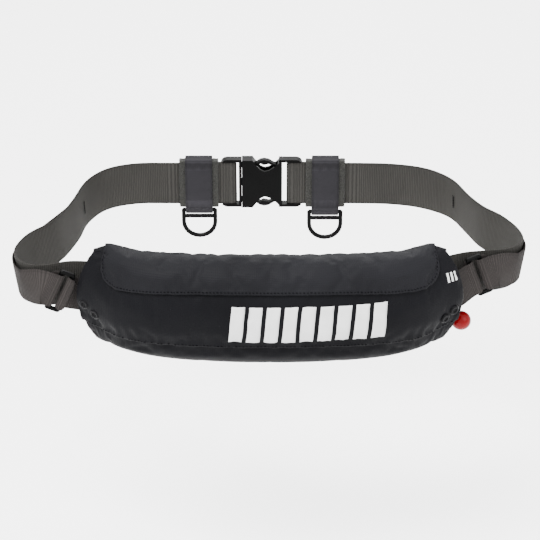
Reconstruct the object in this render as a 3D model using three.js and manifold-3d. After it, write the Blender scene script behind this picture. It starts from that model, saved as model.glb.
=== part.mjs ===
// Inflatable belt pack: a stuffed pouch on a fastened webbing waist belt, with two D-rings beside the buckle.
// Millimetres, +Z up, +X to the viewer's right, +Y from the pouch to the buckle.
// The origin is the waist's axis, at the belt's mid-height.
import * as THREE from 'three';
import { mergeVertices } from 'three/addons/utils/BufferGeometryUtils.js';
import Module from 'manifold-3d';

const wasm = await Module();
wasm.setup();

// Waist belt
const beltWidth = 50;
const beltThickness = 2;
const loopHalfWidth = 254;
const loopHalfDepth = 116;
const clearance = 0.3;

// Side straps and pouch tabs
const strapWidth = 38;
const strapThickness = 1.8;
const strapTail = 22;

// Pouch
const pouchLength = 382;
const pouchHeight = 110;
const pouchDepth = 54;
const pouchCurve = 26;
const pouchEndBow = 18;
const pouchDrop = 5;
const backShare = 0.3;
const roundness = 2.4;
const clothThickness = 1.6;
const clothGap = 0.8;
const flapGap = 1.5;
const backGap = 0.9;

// Buckle
const buckleCentreX = -9;
const buckleLength = 88;
const buckleHeight = 57;
const socketDepth = 12;
const frameDepth = 9;
const barThickness = 4;
const railHeight = 3;
const plugLength = 22.5;
const frameCorner = 7;

// Keepers and D-rings
const keeperWidth = 42;
const keeperWall = 2.6;
const tabWidth = 29.4;
const tabThickness = 1.5;
const ringWidth = 38.5;
const ringHeight = 36;
const ringRod = 4.4;
const ringThickness = 4;
const ringChamfer = 1;
const crossBarDrop = 7.6;

// Adjusters
const adjusterOpening = 8.4;
const adjusterRod = 4;
const adjusterCorner = 3;

// Studs and pull ball
const studDiameter = 11;
const studHeight = 2.2;
const ballDiameter = 20.5;
const neckDiameter = 6;
const neckSeat = 2.8;

const finishes = {
  nylon: { color: 0x2b2b30, roughness: 0.85, metalness: 0 },
  flapNylon: { color: 0x36363b, roughness: 0.85, metalness: 0 },
  webbing: { color: 0x55524d, roughness: 0.9, metalness: 0 },
  strap: { color: 0x504c48, roughness: 0.9, metalness: 0 },
  tabCloth: { color: 0x45444a, roughness: 0.9, metalness: 0 },
  pile: { color: 0x5a5b52, roughness: 1, metalness: 0 },
  plastic: { color: 0x1a191b, roughness: 0.45, metalness: 0 },
  stud: { color: 0x2a2a2c, roughness: 0.35, metalness: 0.8 },
  ball: { color: 0xc8141a, roughness: 0.2, metalness: 0 },
};

// Belt route on each side, from the buckle to the pouch: x as a share of the loop's half width,
// y as a share of its half depth, lean as degrees that the top edge stands out.
const leftRoute = [
  { x: -0.42, y: 1.0, lean: 0 },
  { x: -0.57, y: 0.99, lean: 0 },
  { x: -0.69, y: 0.88, lean: 0 },
  { x: -0.765, y: 0.63, lean: 2 },
  { x: -0.8, y: 0.3, lean: 4 },
  { x: -0.865, y: -0.09, lean: 4 },
  { x: -0.965, y: -0.37, lean: 7 },
  { x: -0.998, y: -0.65, lean: 8 },
  { x: -0.955, y: -0.83, lean: 8 },
  { x: -0.885, y: -0.865, lean: 5 },
  { x: -0.79, y: -0.81, lean: 1 },
];
const rightRoute = [
  { x: 0.36, y: 1.0, lean: 0 },
  { x: 0.52, y: 0.98, lean: 0 },
  { x: 0.65, y: 0.9, lean: 0 },
  { x: 0.755, y: 0.715, lean: -3 },
  { x: 0.82, y: 0.39, lean: -3 },
  { x: 0.865, y: 0.18, lean: 0 },
  { x: 0.94, y: -0.03, lean: 4 },
  { x: 0.99, y: -0.28, lean: 7 },
  { x: 0.995, y: -0.46, lean: 8 },
  { x: 0.94, y: -0.575, lean: 6 },
  { x: 0.85, y: -0.62, lean: 3 },
  { x: 0.77, y: -0.66, lean: 0 },
];

// Pouch sections along its half length: depth and height as shares of the pouch's own,
// back as a share of its curve, bow as a share of the ends' bow.
const pouchSections = [
  { at: 0, depth: 1, height: 1, back: 0, bow: 0 },
  { at: 0.35, depth: 0.98, height: 0.995, back: 0.1, bow: 0 },
  { at: 0.6, depth: 0.93, height: 0.985, back: 0.33, bow: 0.05 },
  { at: 0.78, depth: 0.78, height: 0.965, back: 0.58, bow: 0.3 },
  { at: 0.9, depth: 0.5, height: 0.95, back: 0.66, bow: 0.66 },
  { at: 1, depth: 0.14, height: 0.92, back: 0.42, bow: 1 },
];

// Flap edge and lower seam along the half length, as heights in shares of the pouch's half height.
const flapEdge = [
  { at: 0, height: 0.6 },
  { at: 0.4, height: 0.58 },
  { at: 0.62, height: 0.52 },
  { at: 0.74, height: 0.49 },
  { at: 0.81, height: 0.56 },
  { at: 0.85, height: 0.72 },
  { at: 0.875, height: 0.97 },
];
const lowerSeam = [
  { at: 0, height: -0.44 },
  { at: 0.5, height: -0.48 },
  { at: 0.8, height: -0.56 },
  { at: 1, height: -0.5 },
];
const flapBackAngle = 128;
const panelTopAngle = 108;

// Studs on the ears: along the half length and up the half height.
const studPlaces = [
  { name: 'snap_left_end', along: -0.955, up: -0.06 },
  { name: 'snap_left_front', along: -0.9, up: -0.2 },
  { name: 'snap_right_end', along: 0.95, up: -0.18 },
  { name: 'snap_right_front', along: 0.905, up: -0.3 },
];

const wrap = (degrees) => THREE.MathUtils.degToRad(degrees);

// Reads one column of a table that runs from the middle to the end, smoothly.
function readTable(table, column, at) {
  const share = Math.abs(at);
  const last = table.length - 1;
  let row = table.findIndex((entry) => entry.at > share) - 1;
  if (row < 0) {
    row = last - 1;
  }
  const slopeAt = (index) => {
    const before = table[Math.max(index - 1, 0)];
    const after = table[Math.min(index + 1, last)];
    return index === 0 ? 0 : (after[column] - before[column]) / (after.at - before.at);
  };
  const low = table[row];
  const high = table[row + 1];
  const span = high.at - low.at;
  const t = Math.min((share - low.at) / span, 1);
  const startShare = 2 * t ** 3 - 3 * t ** 2 + 1;
  const startSlope = t ** 3 - 2 * t ** 2 + t;
  const endSlope = t ** 3 - t ** 2;
  return startShare * low[column] + (1 - startShare) * high[column]
    + span * (startSlope * slopeAt(row) + endSlope * slopeAt(row + 1));
}

function geometryFrom(points, faces) {
  const geometry = new THREE.BufferGeometry();
  geometry.setAttribute('position', new THREE.Float32BufferAttribute(points.flatMap((p) => [p.x, p.y, p.z]), 3));
  geometry.setIndex(faces.flat());
  return geometry;
}

function quad(a, b, c, d) {
  return [a, b, c, a, c, d];
}

// Skins a list of rings of equal length, each turning the same way, and closes both ends.
function loft(rings) {
  const count = rings[0].length;
  const faces = [];
  for (let i = 0; i + 1 < rings.length; i += 1) {
    for (let j = 0; j < count; j += 1) {
      const next = (j + 1) % count;
      faces.push(quad(i * count + j, i * count + next, (i + 1) * count + next, (i + 1) * count + j));
    }
  }
  const lastStart = (rings.length - 1) * count;
  for (let j = 1; j + 1 < count; j += 1) {
    faces.push([0, j + 1, j]);
    faces.push([lastStart, lastStart + j, lastStart + j + 1]);
  }
  return outward(geometryFrom(rings.flat(), faces));
}

// Turns a closed geometry's faces outwards, whichever way it was skinned.
function outward(geometry) {
  const position = geometry.getAttribute('position');
  const index = geometry.getIndex().array;
  const a = new THREE.Vector3();
  const b = new THREE.Vector3();
  const c = new THREE.Vector3();
  let volume = 0;
  for (let i = 0; i < index.length; i += 3) {
    a.fromBufferAttribute(position, index[i]);
    b.fromBufferAttribute(position, index[i + 1]);
    c.fromBufferAttribute(position, index[i + 2]);
    volume += a.dot(b.cross(c));
  }
  if (volume < 0) {
    for (let i = 0; i < index.length; i += 3) {
      [index[i + 1], index[i + 2]] = [index[i + 2], index[i + 1]];
    }
  }
  return geometry;
}

// A webbing strip: each frame holds its centre, its direction across the width and its face's normal.
function ribbon(frames, width, thickness) {
  const rings = frames.map(({ centre, across, normal, stretch = 1 }) => {
    const half = across.clone().multiplyScalar(width / 2);
    const out = normal.clone().multiplyScalar(stretch * thickness / 2);
    return [
      centre.clone().add(half).add(out),
      centre.clone().add(half).sub(out),
      centre.clone().sub(half).sub(out),
      centre.clone().sub(half).add(out),
    ];
  });
  return loft(rings);
}

// Frames for a strip whose path lies in one plane, mitred at each point so that it keeps its thickness.
function flatFrames(path, place, acrossAt) {
  return path.map((point, i) => {
    const before = path[Math.max(i - 1, 0)];
    const after = path[Math.min(i + 1, path.length - 1)];
    const into = (i ? point.clone().sub(before) : after.clone().sub(point)).normalize();
    const outOf = (i < path.length - 1 ? after.clone().sub(point) : into.clone()).normalize();
    const tangent = into.clone().add(outOf).normalize();
    const stretch = 1 / Math.max(tangent.dot(into), 0.7);
    const side = new THREE.Vector2(-tangent.y, tangent.x);
    const centre = place(point, i);
    const normal = place(point.clone().add(side), i).sub(centre).normalize();
    const across = acrossAt(point, i, normal);
    const squared = normal.clone().addScaledVector(across, -normal.dot(across)).normalize();
    return { centre, across, normal: squared, stretch };
  });
}

// Points along a path of straight runs whose corners are rounded by arcs of the given radii.
function roundedPath(corners, stepDegrees = 22.5) {
  const path = [corners[0].point.clone()];
  for (let i = 1; i + 1 < corners.length; i += 1) {
    const { point, radius } = corners[i];
    const toBefore = corners[i - 1].point.clone().sub(point).normalize();
    const toAfter = corners[i + 1].point.clone().sub(point).normalize();
    const halfAngle = Math.acos(THREE.MathUtils.clamp(toBefore.dot(toAfter), -1, 1)) / 2;
    const reach = radius / Math.tan(halfAngle);
    const centre = toBefore.clone().add(toAfter).normalize().multiplyScalar(radius / Math.sin(halfAngle)).add(point);
    const start = point.clone().addScaledVector(toBefore, reach).sub(centre);
    const turn = Math.PI - 2 * halfAngle;
    const steps = Math.max(1, Math.ceil(THREE.MathUtils.radToDeg(turn) / stepDegrees));
    const way = Math.sign(toAfter.cross(toBefore));
    for (let k = 0; k <= steps; k += 1) {
      path.push(start.clone().rotateAround(new THREE.Vector2(), way * turn * k / steps).add(centre));
    }
  }
  path.push(corners[corners.length - 1].point.clone());
  return path;
}

function fillet(points, radius) {
  return roundedPath(points.map(([x, y]) => ({ point: new THREE.Vector2(x, y), radius })));
}

// Solids joined and cut where a piece needs it.
function toSolid(geometry) {
  const bare = geometry.index ? geometry.clone() : geometry;
  bare.deleteAttribute('normal');
  bare.deleteAttribute('uv');
  const merged = mergeVertices(bare, 1e-4);
  return new wasm.Manifold(new wasm.Mesh({
    numProp: 3,
    vertProperties: new Float32Array(merged.getAttribute('position').array),
    triVerts: new Uint32Array(merged.getIndex().array),
  }));
}

function fromSolid(solid) {
  const { vertProperties, triVerts } = solid.getMesh();
  const geometry = new THREE.BufferGeometry();
  geometry.setAttribute('position', new THREE.Float32BufferAttribute(vertProperties, 3));
  geometry.setIndex([...triVerts]);
  return geometry;
}

function box(minimum, maximum) {
  const size = maximum.clone().sub(minimum);
  const geometry = new THREE.BoxGeometry(size.x, size.y, size.z);
  return geometry.translate(minimum.x + size.x / 2, minimum.y + size.y / 2, minimum.z + size.z / 2);
}

// A plate drawn in X and Z, of the given depth along Y and centred on the given Y.
function plate(shape, depth, centreY, chamfer = 0) {
  const geometry = new THREE.ExtrudeGeometry(shape, {
    depth: depth - 2 * chamfer,
    bevelEnabled: chamfer > 0,
    bevelThickness: chamfer,
    bevelSize: chamfer,
    bevelOffset: -chamfer,
    bevelSegments: 1,
    curveSegments: 6,
  });
  return geometry.translate(0, 0, -depth / 2 + chamfer).rotateX(Math.PI / 2).translate(0, centreY, 0);
}

const group = new THREE.Group();

// Leaves out the triangles that merging has closed up, as at a turned piece's poles.
function fullTriangles(index) {
  const kept = [];
  for (let i = 0; i < index.length; i += 3) {
    const [a, b, c] = index.slice(i, i + 3);
    if (a !== b && b !== c && c !== a) {
      kept.push(a, b, c);
    }
  }
  return kept;
}

function addPiece(name, geometry, finish) {
  geometry.deleteAttribute('uv');
  geometry.deleteAttribute('normal');
  const merged = mergeVertices(geometry, 1e-4);
  merged.setIndex(fullTriangles([...merged.getIndex().array]));
  merged.computeVertexNormals();
  const mesh = new THREE.Mesh(merged, new THREE.MeshStandardMaterial(finishes[finish]));
  mesh.name = name;
  group.add(mesh);
  return mesh;
}

// Pouch surface: along runs from -1 to 1, angle from the front (0) over the top (90) to the back (180).
const pouchBackY = -(loopHalfDepth + beltThickness / 2 + backGap);

function pouchPlan(along) {
  return pouchBackY + pouchCurve * readTable(pouchSections, 'back', along);
}

function pouchPoint(along, angle) {
  const power = 2 / roundness;
  const depth = pouchDepth * readTable(pouchSections, 'depth', along);
  const halfHeight = pouchHeight / 2 * readTable(pouchSections, 'height', along);
  const forward = Math.cos(wrap(angle));
  const upward = Math.sin(wrap(angle));
  const forwardShare = Math.sign(forward) * Math.abs(forward) ** power;
  const upShare = Math.sign(upward) * Math.abs(upward) ** power;
  const reach = forward > 0 ? depth * (1 - backShare) : depth * backShare;
  const bow = pouchEndBow * readTable(pouchSections, 'bow', along) * upShare ** 2;
  return new THREE.Vector3(
    along * pouchLength / 2 - Math.sign(along) * bow,
    pouchPlan(along) - depth * backShare - forwardShare * reach,
    upShare * halfHeight - pouchDrop,
  );
}

function pouchNormal(along, angle) {
  const step = 0.004;
  const clipped = THREE.MathUtils.clamp(along, -1 + step, 1 - step);
  const lengthwise = pouchPoint(clipped + step, angle).sub(pouchPoint(clipped - step, angle));
  const around = pouchPoint(clipped, angle + 2).sub(pouchPoint(clipped, angle - 2));
  return lengthwise.cross(around).normalize();
}

function pouchSkin(along, angle, offset) {
  return pouchPoint(along, angle).addScaledVector(pouchNormal(along, angle), offset);
}

function angleAtHeight(height) {
  const upward = Math.sign(height) * Math.min(Math.abs(height), 1) ** (roundness / 2);
  return THREE.MathUtils.radToDeg(Math.asin(upward));
}

// Stations that lie closer together towards the pouch's ends.
function pouchStations(reach, steps) {
  const crowding = 77.4;
  return Array.from({ length: steps + 1 }, (_, i) => {
    const angle = crowding * (2 * i / steps - 1);
    return reach * Math.sin(wrap(angle)) / Math.sin(wrap(crowding));
  });
}

function makePouchBody() {
  const around = 24;
  const rings = pouchStations(1, 36).map((along) => Array.from(
    { length: around },
    (_, j) => pouchPoint(along, 360 * j / around),
  ));
  addPiece('pouch_body', loft(rings), 'nylon');
}

// A cloth wall over the pouch, between its upper angle and a lower edge.
function makeClothWall(name, reach, upperAngle, lowerAngleAt, under, finish) {
  const steps = 12;
  const rings = pouchStations(reach, 32).map((along) => {
    const lower = lowerAngleAt(along);
    const angles = Array.from({ length: steps + 1 }, (_, j) => lower + (upperAngle - lower) * j / steps);
    const outer = angles.map((angle) => pouchSkin(along, angle, under + clothThickness));
    const inner = angles.map((angle) => pouchSkin(along, angle, under)).reverse();
    return [...outer, ...inner];
  });
  addPiece(name, wallFrom(rings, steps), finish);
}

// Closes a thin wall: the rings run out along the outer face and back along the inner face.
function wallFrom(rings, steps) {
  const count = rings[0].length;
  const faces = [];
  for (let i = 0; i + 1 < rings.length; i += 1) {
    for (let j = 0; j < count; j += 1) {
      const next = (j + 1) % count;
      faces.push(quad(i * count + j, i * count + next, (i + 1) * count + next, (i + 1) * count + j));
    }
  }
  const lastStart = (rings.length - 1) * count;
  for (let j = 0; j < steps; j += 1) {
    const opposite = count - 1 - j;
    faces.push(quad(j, opposite, opposite - 1, j + 1));
    faces.push(quad(lastStart + j, lastStart + j + 1, lastStart + opposite - 1, lastStart + opposite));
  }
  return outward(geometryFrom(rings.flat(), faces));
}

function makePouchCloth() {
  const overPanel = clothGap + clothThickness + flapGap;
  makeClothWall(
    'front_panel', 1, panelTopAngle,
    (along) => angleAtHeight(readTable(lowerSeam, 'height', along)),
    clothGap, 'nylon',
  );
  makeClothWall(
    'pouch_flap', flapEdge[flapEdge.length - 1].at, flapBackAngle,
    (along) => angleAtHeight(readTable(flapEdge, 'height', along)),
    overPanel, 'flapNylon',
  );
}

// Belt: folded round both buckle bars, and behind the pouch in one length.
const buckleLeft = buckleCentreX - buckleLength / 2;
const buckleRight = buckleCentreX + buckleLength / 2;
const foldRadius = barThickness / 2 + clearance + beltThickness / 2;
const buckleY = loopHalfDepth + foldRadius;
const barGap = 2 * barThickness;
const plugBarX = buckleLeft + barThickness + barGap + 1;
const socketBarX = buckleRight - barThickness - barGap - 1;
const tailGap = beltThickness + clearance;
const tailY = loopHalfDepth + tailGap;
const keepers = [
  { side: 'left', x: buckleLeft - keeperWidth / 2 - 2.5, ringDrop: 0, barX: plugBarX },
  { side: 'right', x: buckleRight + keeperWidth / 2 + 3.5, ringDrop: 2.5, barX: socketBarX },
];

// The tail behind the belt, from under the keeper to the bar, then the fold to the belt's inner run.
function beltFold(keeper) {
  const outward = Math.sign(keeper.barX - buckleCentreX);
  const tailEnd = keeper.x + outward * (keeperWidth / 2 - 3);
  const keeperStart = keeper.x - outward * keeperWidth / 2;
  const farY = buckleY + foldRadius;
  const tip = keeper.barX - outward * foldRadius;
  const corner = (x, y, radius) => ({ point: new THREE.Vector2(x, y), radius });
  return roundedPath([
    corner(tailEnd, tailY, 0),
    corner(keeper.barX + outward * barGap, tailY, barThickness / 3),
    corner(keeper.barX + outward * (barThickness / 2 + 1), farY, barThickness / 3),
    corner(tip, farY, foldRadius * 0.999),
    corner(tip, loopHalfDepth, foldRadius * 0.999),
    corner(keeperStart, loopHalfDepth, 0),
  ]);
}

function routePoints(route) {
  return route.map(({ x, y }) => new THREE.Vector3(x * loopHalfWidth, y * loopHalfDepth, 0));
}

// The belt lies along the pouch's back as far as its ends leave it.
function behindPouch() {
  const steps = 16;
  const reach = 0.72;
  const lift = backGap + beltThickness / 2;
  return Array.from({ length: steps + 1 }, (_, i) => {
    const along = reach * (2 * i / steps - 1);
    return new THREE.Vector3(along * pouchLength / 2, pouchPlan(along) + lift, 0);
  });
}

const beltCurve = new THREE.CatmullRomCurve3([
  ...routePoints(leftRoute),
  ...behindPouch(),
  ...routePoints(rightRoute).reverse(),
], false, 'centripetal');

// Lean along the belt, read from the nearest rows of each side's route.
function leanAt(point) {
  const route = point.x < 0 ? leftRoute : rightRoute;
  let total = 0;
  let weights = 0;
  for (const row of route) {
    const gap = Math.hypot(point.x - row.x * loopHalfWidth, point.y - row.y * loopHalfDepth);
    const weight = 1 / (gap + 8) ** 3;
    total += weight * row.lean;
    weights += weight;
  }
  const behind = Math.abs(point.x) < pouchLength / 2 && point.y < 0 ? 0 : 1;
  return wrap(behind * total / weights);
}

// Direction across a standing strip that leans outwards from the waist's axis.
function leaningAcross(normal, lean) {
  const outwardNormal = normal.clone().setZ(0).normalize();
  return new THREE.Vector3(0, 0, Math.cos(lean)).addScaledVector(outwardNormal, Math.sin(lean));
}

function outwardSide(point, normal) {
  return Math.sign(normal.x * point.x + normal.y * point.y) || 1;
}

function standingStrip(path, width, thickness) {
  const place = (point) => new THREE.Vector3(point.x, point.y, 0);
  const acrossAt = (point, i, normal) => {
    const outside = normal.clone().multiplyScalar(outwardSide(point, normal));
    return leaningAcross(outside, leanAt(point));
  };
  return ribbon(flatFrames(path, place, acrossAt), width, thickness);
}

function makeBelt() {
  const steps = 110;
  const run = beltCurve.getSpacedPoints(steps).map((p) => new THREE.Vector2(p.x, p.y));
  const [left, right] = keepers.map(beltFold);
  addPiece('belt', standingStrip([...left, ...run, ...right.reverse()], beltWidth, beltThickness), 'webbing');
}

// Buckle outlines are drawn in X and Z about the buckle's own centre line.
function polygon(points) {
  const shape = new THREE.Shape();
  shape.moveTo(points[0][0], points[0][1]);
  for (const [x, z] of points.slice(1)) {
    shape.lineTo(x, z);
  }
  shape.closePath();
  return shape;
}

// A frame rail loop: open towards the body at bodyX, rounded at its outer end.
function frameGeometry(bodyX, endX, barX) {
  const half = buckleHeight / 2;
  const way = Math.sign(endX - bodyX);
  const innerHalf = half - railHeight;
  const outer = fillet([
    [bodyX, -half], [endX, -half], [endX, half], [bodyX, half],
  ], frameCorner);
  const inner = polygon([
    [bodyX - way, -innerHalf], [endX - way * barThickness, -innerHalf],
    [endX - way * barThickness, innerHalf], [bodyX - way, innerHalf],
  ]);
  const rails = toSolid(plate(new THREE.Shape(outer), frameDepth, buckleY))
    .subtract(toSolid(plate(inner, frameDepth + 2, buckleY)));
  const barRadius = (barThickness - clearance) / 2;
  const bar = new THREE.CylinderGeometry(barRadius, barRadius, buckleHeight - railHeight, 12);
  const strapRoom = toSolid(box(
    new THREE.Vector3(endX - barThickness - 1, buckleY - frameDepth, -innerHalf),
    new THREE.Vector3(endX + barThickness + 1, tailY + beltThickness / 2 + clearance, innerHalf),
  ));
  return rails.subtract(strapRoom).add(toSolid(bar.rotateX(Math.PI / 2).translate(barX, buckleY, 0)));
}

const plugEndX = buckleLeft + plugLength;
const socketBodyEndX = buckleRight - plugLength;
const channelHalf = buckleHeight / 2 - 4.5;
const channelDepth = 7;

// One springing prong of the plug, drawn for the upper side.
function prongShape() {
  const rise = buckleHeight / 2;
  const start = plugEndX - 1;
  const span = socketBodyEndX - 6 - start;
  const at = (share) => start + share * span;
  return polygon([
    [at(0), channelHalf - 1], [at(0.42), channelHalf - 0.6], [at(0.54), rise - 1.8], [at(0.66), rise - 0.6],
    [at(0.8), rise - 1.8], [at(0.92), channelHalf - 0.4], [at(1), channelHalf - 2], [at(1), channelHalf - 5],
    [at(0.8), rise - 5.4], [at(0.64), rise - 6.8], [at(0.56), rise - 5], [at(0.42), channelHalf - 4.4],
    [at(0), channelHalf - 5],
  ]);
}

function mirroredUp(shape) {
  return polygon(shape.getPoints().map((p) => [p.x, -p.y]).reverse());
}

function makePlug() {
  const half = buckleHeight / 2;
  const frame = frameGeometry(plugEndX, buckleLeft, plugBarX);
  const base = toSolid(box(
    new THREE.Vector3(plugEndX - 3, buckleY - frameDepth / 2, -half),
    new THREE.Vector3(plugEndX, buckleY + frameDepth / 2, half),
  ));
  const prongDepth = channelDepth - 2 * clearance;
  const prong = prongShape();
  const guideHalf = 3;
  const guide = toSolid(box(
    new THREE.Vector3(plugEndX - 1, buckleY - prongDepth / 2, -guideHalf),
    new THREE.Vector3(plugEndX + plugLength, buckleY + prongDepth / 2, guideHalf),
  ));
  const solid = frame.add(base).add(guide)
    .add(toSolid(plate(prong, prongDepth, buckleY)))
    .add(toSolid(plate(mirroredUp(prong), prongDepth, buckleY)));
  addPiece('buckle_plug', fromSolid(solid), 'plastic');
}

// Socket body outline, upper half: shoulders, the side window's dip and the flare to the frame.
function socketShape() {
  const half = buckleHeight / 2;
  const start = plugEndX + clearance;
  const span = socketBodyEndX - start;
  const upper = [
    [0, 1], [0.27, 1], [0.3, 0.93], [0.38, 0.76], [0.47, 0.6], [0.57, 0.53],
    [0.68, 0.57], [0.8, 0.7], [0.9, 0.83], [0.96, 0.95], [1, 1],
  ].map(([along, up]) => [start + along * span, up * half]);
  const lower = upper.map(([x, z]) => [x, -z]).reverse();
  return polygon([...lower, ...upper].reverse());
}

function makeSocket() {
  const start = plugEndX + clearance;
  const channel = toSolid(box(
    new THREE.Vector3(start - 1, buckleY - channelDepth / 2, -channelHalf),
    new THREE.Vector3(socketBodyEndX - 4, buckleY + channelDepth / 2, channelHalf),
  ));
  const body = toSolid(plate(socketShape(), socketDepth, buckleY)).subtract(channel);
  const frame = frameGeometry(socketBodyEndX, buckleRight, socketBarX);
  const joinBlock = toSolid(box(
    new THREE.Vector3(socketBodyEndX - 3, buckleY - frameDepth / 2, -buckleHeight / 2),
    new THREE.Vector3(socketBodyEndX + 0.5, buckleY + frameDepth / 2, buckleHeight / 2),
  ));
  addPiece('buckle_socket', fromSolid(body.add(frame).add(joinBlock)), 'plastic');
}

// Keeper: a pile-faced sleeve round both layers of the belt.
const keeperY = loopHalfDepth + tailGap / 2;
const keeperInnerDepth = beltThickness + tailGap + 2 * clearance;
const keeperHalfDepth = keeperInnerDepth / 2 + keeperWall;
const keeperHalfHeight = beltWidth / 2 + clearance + keeperWall;

function makeKeeper(keeper) {
  const innerHalfHeight = keeperHalfHeight - keeperWall;
  const ring = new THREE.Shape(fillet([
    [0, -keeperHalfHeight], [keeperHalfDepth, -keeperHalfHeight], [keeperHalfDepth, keeperHalfHeight],
    [-keeperHalfDepth, keeperHalfHeight], [-keeperHalfDepth, -keeperHalfHeight], [0, -keeperHalfHeight],
  ], keeperWall * 0.8).slice(0, -1));
  const innerHalf = keeperInnerDepth / 2;
  ring.holes.push(new THREE.Path([
    new THREE.Vector2(-innerHalf, -innerHalfHeight), new THREE.Vector2(-innerHalf, innerHalfHeight),
    new THREE.Vector2(innerHalf, innerHalfHeight), new THREE.Vector2(innerHalf, -innerHalfHeight),
  ]));
  const geometry = new THREE.ExtrudeGeometry(ring, { depth: keeperWidth, bevelEnabled: false });
  const turned = new THREE.Matrix4().makeBasis(
    new THREE.Vector3(0, 1, 0), new THREE.Vector3(0, 0, 1), new THREE.Vector3(1, 0, 0),
  );
  geometry.applyMatrix4(turned).translate(keeper.x - keeperWidth / 2, keeperY, 0);
  addPiece(`keeper_${keeper.side}`, geometry, 'pile');
}

// D-ring tab: down behind the keeper, round the ring's bar, up the front, over the top and down again.
const barReach = Math.hypot(ringThickness / 2, ringThickness / 2 - ringChamfer);
const tabFoldRadius = barReach + clearance + tabThickness / 2;
const ringBarZ = -(keeperHalfHeight + clearance + tabThickness + tabFoldRadius);

function makeRingTab(keeper) {
  const lift = clearance + tabThickness / 2;
  const frontY = keeperY - keeperHalfDepth - lift;
  const rearY = keeperY + keeperHalfDepth + lift;
  const overlapY = rearY + tabThickness + clearance;
  const topZ = keeperHalfHeight + lift;
  const barZ = ringBarZ - keeper.ringDrop;
  const neckZ = barZ + tabFoldRadius * 0.3;
  const foldZ = barZ - tabFoldRadius;
  const corner = (y, z, radius) => ({ point: new THREE.Vector2(y, z), radius });
  const path = roundedPath([
    corner(rearY, topZ * 0.6, 0),
    corner(rearY, -keeperHalfHeight, 2),
    corner(keeperY + tabFoldRadius, neckZ, 1),
    corner(keeperY + tabFoldRadius, foldZ, tabFoldRadius * 0.999),
    corner(keeperY - tabFoldRadius, foldZ, tabFoldRadius * 0.999),
    corner(keeperY - tabFoldRadius, neckZ, 1),
    corner(frontY, -keeperHalfHeight, 2),
    corner(frontY, topZ, 2),
    corner(overlapY, topZ, 2),
    corner(overlapY, 0, 0),
  ]);
  const place = (point) => new THREE.Vector3(keeper.x, point.x, point.y);
  const frames = flatFrames(path, place, () => new THREE.Vector3(1, 0, 0));
  addPiece(`dring_tab_${keeper.side}`, ribbon(frames, tabWidth, tabThickness), 'tabCloth');
}

// D-ring: a round-bottomed rim with a bar in the tab's fold and a cross bar below it.
function makeRing(keeper) {
  const half = ringWidth / 2;
  const innerHalf = half - ringRod;
  const top = ringThickness / 2;
  const bottom = top - ringHeight;
  const bowCentre = bottom + half;
  const shape = new THREE.Shape();
  shape.moveTo(-half, top - 2);
  shape.lineTo(-half, bowCentre);
  shape.absarc(0, bowCentre, half, Math.PI, 2 * Math.PI, false);
  shape.lineTo(half, top - 2);
  shape.lineTo(half - 2, top);
  shape.lineTo(-half + 2, top);
  shape.closePath();
  const slotHalf = tabWidth / 2 + clearance;
  const slot = new THREE.Path();
  slot.moveTo(-slotHalf, -ringThickness / 2);
  slot.lineTo(slotHalf, -ringThickness / 2);
  slot.lineTo(slotHalf, -crossBarDrop + ringThickness / 2);
  slot.lineTo(-slotHalf, -crossBarDrop + ringThickness / 2);
  slot.closePath();
  const eye = new THREE.Path();
  eye.moveTo(-innerHalf, -crossBarDrop - ringThickness / 2);
  eye.lineTo(innerHalf, -crossBarDrop - ringThickness / 2);
  eye.lineTo(innerHalf, bowCentre);
  eye.absarc(0, bowCentre, innerHalf, 0, -Math.PI, true);
  eye.closePath();
  shape.holes.push(slot, eye);
  const geometry = plate(shape, ringThickness, 0, ringChamfer);
  const mesh = addPiece(`dring_${keeper.side}`, geometry, 'plastic');
  mesh.position.set(keeper.x, keeperY, ringBarZ - keeper.ringDrop);
}

// Adjusters: plain rings between each pouch tab and side strap, placed in shares of the loop,
// z in millimetres, tilted about Y and turned about Z in degrees.
const strapFold = adjusterRod / Math.SQRT2 + clearance + strapThickness / 2;
const adjusters = [
  { side: 'left', way: -1, x: -0.823, y: -0.948, z: -1, tilt: 24, turn: 2 },
  { side: 'right', way: 1, x: 0.827, y: -0.716, z: 2, tilt: -20, turn: 10 },
];

function adjusterFrame(adjuster) {
  const turned = new THREE.Matrix4().makeRotationZ(wrap(adjuster.turn));
  turned.multiply(new THREE.Matrix4().makeRotationY(wrap(adjuster.tilt)));
  turned.setPosition(adjuster.x * loopHalfWidth, adjuster.y * loopHalfDepth, adjuster.z);
  return turned;
}

function makeAdjuster(adjuster) {
  const innerHalfHeight = strapWidth / 2 + 2 * clearance;
  const innerHalfWidth = adjusterOpening / 2;
  const outerHalfHeight = innerHalfHeight + adjusterRod;
  const outerHalfWidth = innerHalfWidth + adjusterRod;
  const shape = new THREE.Shape(fillet([
    [0, -outerHalfHeight], [outerHalfWidth, -outerHalfHeight], [outerHalfWidth, outerHalfHeight],
    [-outerHalfWidth, outerHalfHeight], [-outerHalfWidth, -outerHalfHeight], [0, -outerHalfHeight],
  ], adjusterCorner).slice(0, -1));
  shape.holes.push(new THREE.Path([
    new THREE.Vector2(-innerHalfWidth, -innerHalfHeight), new THREE.Vector2(-innerHalfWidth, innerHalfHeight),
    new THREE.Vector2(innerHalfWidth, innerHalfHeight), new THREE.Vector2(innerHalfWidth, -innerHalfHeight),
  ]));
  const geometry = plate(shape, adjusterRod, 0, 0.8).applyMatrix4(adjusterFrame(adjuster));
  addPiece(`adjuster_${adjuster.side}`, geometry, 'plastic');
}

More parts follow.
